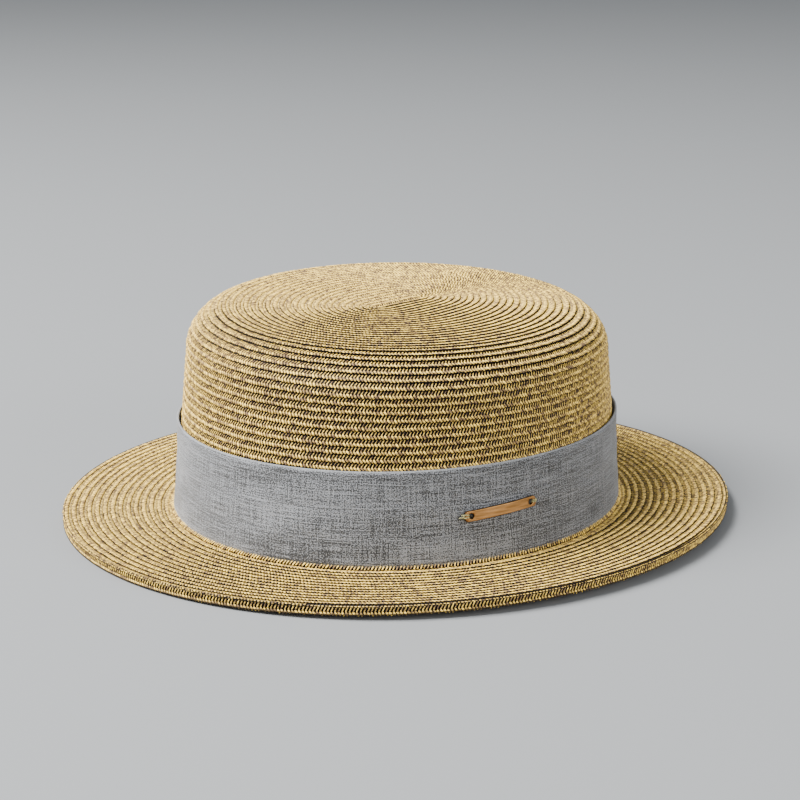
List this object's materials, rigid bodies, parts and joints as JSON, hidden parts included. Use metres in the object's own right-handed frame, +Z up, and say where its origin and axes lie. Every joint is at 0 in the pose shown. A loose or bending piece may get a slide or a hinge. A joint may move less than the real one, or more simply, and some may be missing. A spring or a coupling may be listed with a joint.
{
  "type": "straw boater hat",
  "caption": "Oval flat-topped sewn-straw hat with a flat brim, a plain cloth band and a small metal bar, open below for a head.",
  "frame": {"origin": "on the surface that the hat stands on, under the middle of the crown", "axes": "+Z up through the crown; -Y towards the front of the head; +X towards the wearer's left"},
  "size_m": [0.2594, 0.2848, 0.0837],
  "materials": {
    "straw_braid": "sewn paper-straw braid, matt with a slight sheen",
    "band_cloth": "plain woven grey cloth with slubs",
    "rose_gold_metal": "satin rose-gold plate with a bright bevel"
  },
  "bodies": {
    "root": {"crown": "straw_braid", "brim": "straw_braid", "brim_edge": "straw_braid", "hat_band": "band_cloth", "metal_bar": "rose_gold_metal"}
  },
  "joints": []
}
